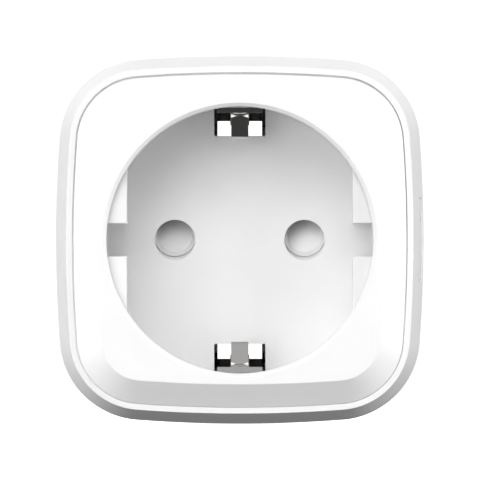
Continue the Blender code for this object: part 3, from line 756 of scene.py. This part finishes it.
def make_shutter():
    """The slider behind the pin holes, with a scooped ramp in front of each of its holes."""
    middle, height = 3.0, 14.4
    slider = prism("shutter_slider", rounded((0, middle), (26.8, height), 1.5), 21.4, 24.0, 0.2)
    for side in (-1, 1):
        pad = rounded((side * 9.2, middle), (8.2, height), 1.0)
        join(slider, prism(f"pad_{side}", pad, PAD_FRONT, 22.4, 0.15))
    bottom = SCOOP_Z - SCOOP_R
    # Each ring of the ramp: how far in it lies, how deep, and how much it slopes.
    steps = ((0.06, -0.3, 0), (0.06, 0.0, 0), (0.14, 0.04, 0.02), (0.5, 0.24, 0.2),
             (0.62, 0.34, 0.4))
    for side in (-1, 1):
        x = side * PIN_X
        rings = []
        for inset, lift, slope in steps:
            low, right = bottom + inset, x + SCOOP_R - inset
            rings.append([(u, PAD_FRONT + lift
                           + slope * (max(0, v - low) + SCOOP_TILT * (right - u)), v)
                          for u, v in stadium(x, SCOOP_R - inset)])
        cut(slider, loft(f"ramp_{side}", rings))
        outer, inner = stadium(x, SCOOP_R + 0.12), stadium(x, SCOOP_R - 0.04)
        front, back = PAD_FRONT - 0.3, PAD_FRONT + 0.4
        trench = [[(u, depth, v) for u, v in outline] for outline, depth in
                  ((outer, front), (outer, back), (inner, back), (inner, front))]
        cut(slider, loft(f"trench_{side}", trench, capped=False),
            rod(f"slider_hole_{side}", (x, 18, SHUTTER_HOLE_Z), (x, 25, SHUTTER_HOLE_Z), 3.0, 48))
    finish_piece(slider, SOCKET_WHITE, "shutter_slider", ["shutter"])


def make_spring():
    """The coil spring under the slider, its end coils closed."""
    bottom, top, depth = -14.5, -4.5, 22.9
    radius, wire, turns, per_turn = 1.2, 0.2, 8, 24
    curve = bpy.data.curves.new("slider_spring", "CURVE")
    curve.dimensions = "3D"
    curve.bevel_depth = wire * MM
    curve.bevel_resolution = 3
    curve.use_fill_caps = True
    coil = curve.splines.new("POLY")
    count = turns * per_turn + 1
    coil.points.add(count - 1)
    for i in range(count):
        turn = i / per_turn
        angle = 2 * math.pi * turn
        open_turns = min(max(turn - 1, 0), turns - 2)
        closed = 2 * wire * (turn - open_turns)
        rise = closed + (top - bottom - 6 * wire) * open_turns / (turns - 2)
        place = point(radius * math.cos(angle), depth + radius * math.sin(angle),
                      bottom + wire + rise)
        coil.points[i].co = (*place, 1.0)
    sweep = bpy.data.objects.new("sweep", curve)
    bpy.context.scene.collection.objects.link(sweep)
    bpy.context.view_layer.update()
    shape = sweep.evaluated_get(bpy.context.evaluated_depsgraph_get())
    spring = link("slider_spring", bpy.data.meshes.new_from_object(shape))
    bpy.data.objects.remove(sweep)
    finish_piece(spring, STEEL, "body", ["shutter_spring"])
    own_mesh(spring)


def make_earth_clips():
    """One strip of spring metal, bent up at each end into an earth clip with its tongue."""
    wall, base, top, fold = 19.0, 20.7, 7.6, (1.33, 1.65)
    inner, half_thick = wall - 0.6, STRAP_THICK / 2
    half = [(wall, top), (wall, base - fold[1]), (wall - fold[0], base)]
    path = half + [(-z, depth) for z, depth in half[::-1]]
    strap = strip("earth_clips", path, 6.6, STRAP_THICK)
    for side in (-1, 1):
        low, high = sorted((side * 16.9, side * 21))
        wedge = [(top - 0.4, side * inner), (top + 0.45, side * inner),
                 (top, side * (wall + 0.41)), (top - 0.4, side * (wall + 0.41))]
        cut(strap, box(f"slot_{side}", (-1.35, 9.4, low), (1.35, 22, high)),
            loft(f"lead_in_{side}", [[(x, depth, z) for depth, z in wedge] for x in (-4, 4)]))
    soften(strap, 0.05)
    finish_piece(strap, CLIP_METAL, "body", ["front_earth_strap"])
    for side, name in ((1, "top"), (-1, "bottom")):
        low, high = sorted((side * 16.7, side * 18.8))
        tab = box(f"earth_tab_{name}", (-LOBE_HALF, base - half_thick, low),
                  (LOBE_HALF, base + half_thick, high))
        soften(tab, 0.06)
        finish_piece(tab, CLIP_METAL, "body", [])
        line = fillet([(16.7, 20.5, 0), (16.5, 19.0, 2), (14.98, 11.35, 0.5), (18.9, 9.7, 0)],
                      pieces=10)
        tongue = strip(f"earth_tongue_{name}", [(side * z, depth) for z, depth in line],
                       2.5, 0.45)
        tip = arc((0, 15.29), 2.9, 64.5, 115.5, 16)
        mask = [(x, side * z) for x, z in [(-1.6, 14), (1.6, 14)] + tip]
        boolean(tongue, "INTERSECT", [prism("tongue_mask", mask, 4, 21.6)])
        finish_piece(tongue, CLIP_METAL, "body", [])
        finish_piece(make_lobe(f"earth_lobe_{name}", side), CLIP_METAL, "body", [])


def make_lobe(name, side):
    """The bulge of the clip's wall that faces the tongue: bowed across and rolled at its end."""
    back, crest, bulge = 19.5, 18.98, 0.28
    across = [LOBE_HALF * (i / 8 - 1) for i in range(17)]
    # Each ring: how far it rises from the wall, its depth, and how much its face slants.
    rings = []
    for lift, depth, slant in ((0.0, 7.7, 0.72), (0.0, 8.7, 0.0), (0.12, 8.84, 0.0),
                               (0.25, 8.98, 0.0), (0.42, 9.08, 0.0)):
        bow = [(x, crest - lift - bulge * (1 - (x / LOBE_HALF) ** 2)) for x in across]
        wall = [(x, back) for x in across[::-1]]
        rings.append([(x, depth + slant * (back - z), side * z) for x, z in bow + wall])
    return loft(name, rings)


# --- plug ----------------------------------------------------------------------------------

def make_plug_pins():
    """The pins: a round tip, a collar behind the pin's boss and a thin tail inside the case."""
    tip, pin_r, tail_r = PLUG_FACE + 19, 2.4, 1.2
    line = fillet([(0, tip, 0), (pin_r, tip, 2.2), (pin_r, 49.7, 0), (3.4, 49.7, 0.2),
                   (3.4, 48, 0.2), (2.0, 48, 0), (2.0, 39.8, 0.2), (tail_r, 39.8, 0),
                   (tail_r, 35.9, 0.2), (0, 35.9, 0)], pieces=10)
    for side, node in ((1, "live_pin"), (-1, "neutral_pin")):
        pin = turned(f"plug_{node}", line, (side * PIN_X, 0), 64)
        finish_piece(pin, PIN_METAL, "body", [node])


def make_plug_earth():
    """The U-shaped strip of the plug's side contacts, and the sleeve for a standing earth pin."""
    reach, across, bend, start = 17.3, 55.5, 1.2, 44
    half = [(reach, start)] + arc((reach - bend, across - bend), bend, 0, 90, 10)
    path = half + [(-z, depth) for z, depth in half[::-1]]
    strap = strip("plug_earth_strip", path, 8.0, STRAP_THICK)
    cut(strap, rod("strip_hole", (0, 54, EARTH_HOLE_Z), (0, 57, EARTH_HOLE_Z), 3.0, 48))
    soften(strap, 0.12, 3)
    finish_piece(strap, CLIP_METAL, "body", ["rear_earth_strap"])
    bore, outer, lip, end = 2.95, 3.5, 3.9, 54.8
    line = fillet([(bore, start, 0.1), (outer, start, 0.1), (outer, 54.2, 0.2), (lip, end, 0.05),
                   (bore, end, 0.1)], closed=True)
    sleeve = turned("plug_earth_sleeve", line, (0, EARTH_HOLE_Z), 48)
    finish_piece(sleeve, PIN_METAL, "body", ["earth_pin_socket"])


# --- button --------------------------------------------------------------------------------

def make_button():
    """The cap in the side wall, with a flange behind it and a small light in its upper half."""
    middle, cap_back, lens_z, lens_r = (BUTTON_DEPTH, 0), 23.2, 3.0, 0.6
    # Each ring: how far it is sunk under the side's surface, and how far in it lies.
    rings = []
    for sunk, inset in ((None, 0), (0.32, 0), (0.15, 0.05), (0.04, 0.16), (0.0, 0.36)):
        outline = rounded(middle, [size - 2 * inset for size in BUTTON_SIZE], 1.5 - inset)
        rings.append([(cap_back if sunk is None else side_x(depth) - sunk, depth, z)
                      for depth, z in outline])
    cap = loft("button_face", rings)
    flange = rounded(middle, [size + 1.4 for size in BUTTON_SIZE], 1.7)
    join(cap, loft("flange", [[(x, depth, z) for depth, z in flange] for x in (22.9, 23.75)]))
    cut(cap, rod("lens_hole", (22, BUTTON_DEPTH, lens_z), (28, BUTTON_DEPTH, lens_z),
                 lens_r + 0.06))
    finish_piece(cap, BUTTON_WHITE, "button", ["button_cap"])
    tip = side_x(BUTTON_DEPTH) - 0.02
    lens = rod("button_light", (22.9, BUTTON_DEPTH, lens_z), (tip, BUTTON_DEPTH, lens_z), lens_r)
    soften(lens, 0.12, 3)
    finish_piece(lens, LENS, "button", ["button_lens"])


# --- inside --------------------------------------------------------------------------------

def dress_inside():
    """The inner parts keep their CAD shapes and get rounded edges and their own materials."""
    looks = {
        "spring_steel": STEEL, "nickel": PIN_METAL, "copper": COPPER, "lens": LENS,
        "board_green": BOARD, "black_plastic": BLACK, "yellow_plastic": YELLOW,
        "blue_coating": BLUE, "dark_sleeve": SLEEVE, "ceramic": CERAMIC,
        "socket_white": SOCKET_WHITE, "case_white": CASE_WHITE, "button_white": BUTTON_WHITE}
    nearest, rounding, sharp = 0.001, 0.12, 40
    slots = {entry["node"]: entry["material_slot"] for entry in frame["record"]["subparts"]}
    for name, node in frame["nodes"].items():
        if node.hide_render:
            continue
        node.data.materials.clear()
        node.data.materials.append(looks[slots[name]])
        weld = node.modifiers.new("Weld", "WELD")
        weld.merge_threshold = nearest * MM
        bevel = node.modifiers.new("Edges", "BEVEL")
        bevel.width = rounding * MM
        bevel.segments = 2
        bevel.limit_method = "ANGLE"
        bevel.angle_limit = math.radians(sharp)


# --- stage ---------------------------------------------------------------------------------

def softbox(name, azimuth, elevation, power, size=SOFTBOX_SIZE):
    """A square lamp aimed at the case from an azimuth (0 is the front, 90 the button's side)."""
    lamp = bpy.data.lights.new(name, "AREA")
    lamp.shape = "SQUARE"
    lamp.size = size * MM
    lamp.energy = power
    light = link(name, lamp)
    turn, rise = math.radians(azimuth), math.radians(elevation)
    way = Vector((math.sin(turn) * math.cos(rise), -math.cos(turn) * math.cos(rise),
                  math.sin(rise)))
    light.location = point(0, LIGHT_CENTRE, 0) + way * SOFTBOX_DISTANCE * MM
    light.rotation_euler = (-way).to_track_quat("-Z", "Y").to_euler()
    light.visible_camera = False
    light.visible_glossy = False
    return light


def make_lights():
    """Soft lamps all round; only the card straight in front is seen in shiny surfaces."""
    softbox("front_above", 0, 30, 0.84)
    softbox("front_below", 0, -35, 0.09)
    softbox("front_left", -30, 0, 0.76)
    softbox("front_right", 52, 0, 0.34)
    softbox("above_left", -30, 30, 0.52)
    softbox("above_right", 58, 38, 0.78)
    softbox("below_right", 60, -35, 0.46)
    softbox("left", -88, 0, 1.9, WIDE_SOFTBOX)
    softbox("right", 88, 0, 1.26, WIDE_SOFTBOX)
    softbox("top", 0, 88, 0.19, WIDE_SOFTBOX)
    softbox("behind_above", 180, 45, 1.89, WIDE_SOFTBOX)
    card = softbox("front_card", 0, 0, 0.34)
    card.visible_glossy = True
    card.visible_diffuse = False


def make_world():
    """A studio that is white to the camera.

    Matt surfaces get a little light from behind and from the left; shiny surfaces reflect a
    bright upper half and a dim lower half.
    """
    world = bpy.data.worlds.new("studio")
    bpy.context.scene.world = world
    world.use_nodes = True
    world.cycles.sampling_method = "NONE"
    tree = world.node_tree

    def node(kind, **values):
        made = tree.nodes.new(kind)
        for name, value in values.items():
            made.inputs[name.replace("_", " ")].default_value = value
        return made

    def choose(ray, otherwise, chosen):
        mix = tree.nodes.new("ShaderNodeMixShader")
        tree.links.new(path.outputs[ray], mix.inputs["Fac"])
        tree.links.new(otherwise.outputs[0], mix.inputs[1])
        tree.links.new(chosen.outputs[0], mix.inputs[2])
        return mix

    path = node("ShaderNodeLightPath")
    coordinates = node("ShaderNodeTexCoord")
    axes = node("ShaderNodeSeparateXYZ")
    tree.links.new(coordinates.outputs["Generated"], axes.inputs[0])
    fills = []
    for axis, strength in (("X", -FILL_LEFT), ("Y", FILL_BEHIND)):
        lobe = node("ShaderNodeMath")
        lobe.operation = "MULTIPLY"
        lobe.use_clamp = True
        lobe.inputs[1].default_value = strength
        tree.links.new(axes.outputs[axis], lobe.inputs[0])
        fills.append(lobe)
    both = node("ShaderNodeMath")
    for number, lobe in enumerate(fills):
        tree.links.new(lobe.outputs[0], both.inputs[number])
    shine = node("ShaderNodeMapRange", From_Min=SHINE_FROM, From_Max=SHINE_TO,
                 To_Min=SHINE_LOW, To_Max=SHINE_HIGH)
    shine.interpolation_type = "SMOOTHSTEP"
    tree.links.new(axes.outputs["Z"], shine.inputs["Value"])

    matt = tree.nodes["Background"]
    shiny = node("ShaderNodeBackground")
    white = node("ShaderNodeBackground", Strength=BACKDROP)
    for background in (matt, shiny, white):
        background.inputs["Color"].default_value = (1, 1, 1, 1)
    tree.links.new(both.outputs[0], matt.inputs["Strength"])
    tree.links.new(shine.outputs[0], shiny.inputs["Strength"])
    surface = choose("Is Glossy Ray", matt, shiny)
    surface = choose("Is Camera Ray", surface, white)
    tree.links.new(surface.outputs[0], tree.nodes["World Output"].inputs["Surface"])


def make_floor():
    """A wide pale floor just under the case that casts no light, reflection or shadow on it."""
    half_size_m = 60.0
    built = bmesh.new()
    under = Matrix.Translation((0, 0, -(HALF_WIDTH + FLOOR_GAP) * MM))
    bmesh.ops.create_grid(built, x_segments=1, y_segments=1, size=half_size_m, matrix=under)
    floor = from_bmesh("floor", built)
    nodes = Nodes("pale floor")
    nodes.set(Emission_Color=(1, 1, 1, 1), Emission_Strength=1.0, Roughness=0.9)
    nodes.wire(nodes.ramp(nodes.noise(6, 2), (0.86, 0.86, 0.86), (0.88, 0.88, 0.88)),
               "Base Color")
    floor.data.materials.append(nodes.material)
    floor.visible_diffuse = False
    floor.visible_glossy = False
    floor.visible_shadow = False


def make_camera():
    """A camera straight in front and so far away that depth hardly changes a size."""
    camera = bpy.data.cameras.new("camera")
    camera.lens = CAMERA_DISTANCE * camera.sensor_width / VIEW_WIDTH
    camera.clip_end = 200.0
    eye = link("camera", camera)
    eye.location = point(CAMERA_SHIFT[0], -CAMERA_DISTANCE, CAMERA_SHIFT[1])
    eye.rotation_euler = (math.pi / 2, 0, 0)
    bpy.context.scene.camera = eye


make_camera()
make_front_cover()
make_case_sides()
make_case_back()
make_case_screws()
make_socket_well()
make_shutter()
make_spring()
make_earth_clips()
make_plug_pins()
make_plug_earth()
make_button()
dress_inside()
make_floor()
make_world()
make_lights()
bpy.context.scene.view_settings.view_transform = "Standard"
